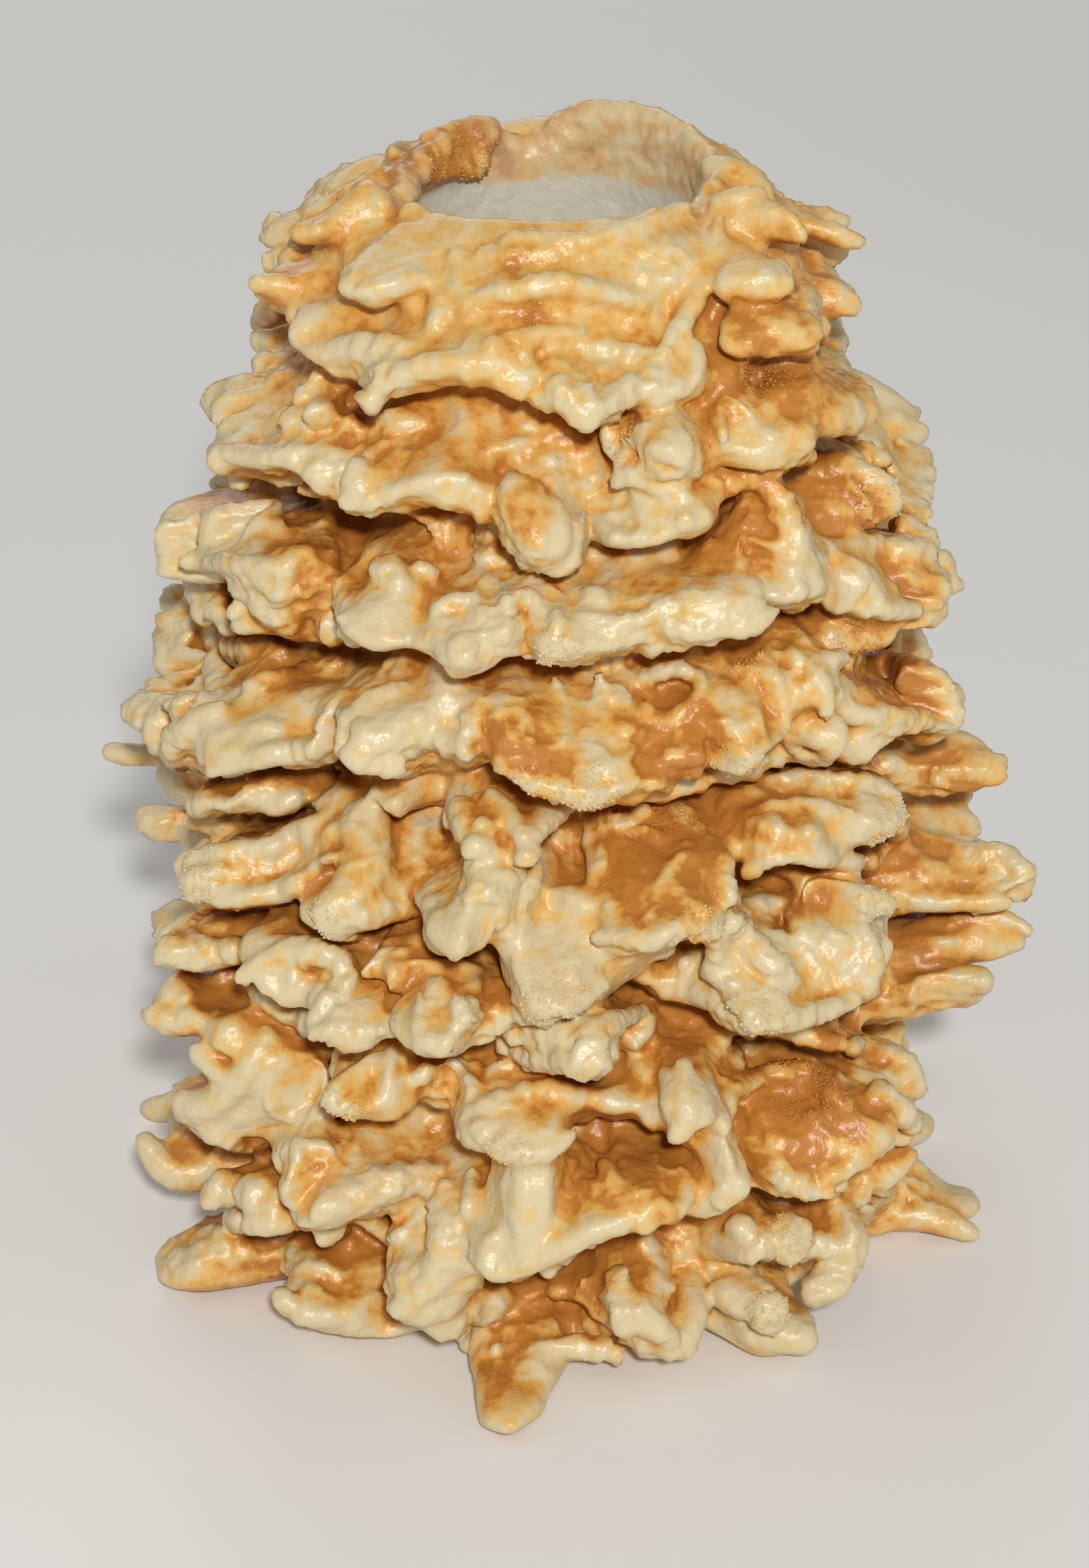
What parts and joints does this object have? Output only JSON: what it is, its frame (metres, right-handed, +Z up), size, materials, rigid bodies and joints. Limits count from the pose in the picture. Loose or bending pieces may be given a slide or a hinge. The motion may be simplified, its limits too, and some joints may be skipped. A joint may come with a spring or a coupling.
{
  "type": "spit cake",
  "caption": "Tall hollow spit cake: a tapering tube of baked batter ringed by tiers of drooping, knobbly tongues, standing on a flat foot.",
  "frame": {"origin": "on the surface the cake stands on, at the middle of the cake's outline seen from above", "axes": "+Z up along the spit bore, -Y towards the front that the picture shows, +X to the right"},
  "size_m": [0.2966, 0.3025, 0.372],
  "materials": {
    "crust": "baked batter crust, pale cream on the lips and caramel brown in the hollows, softly shiny"
  },
  "bodies": {
    "root": {"spit_cake": "crust"}
  },
  "joints": []
}
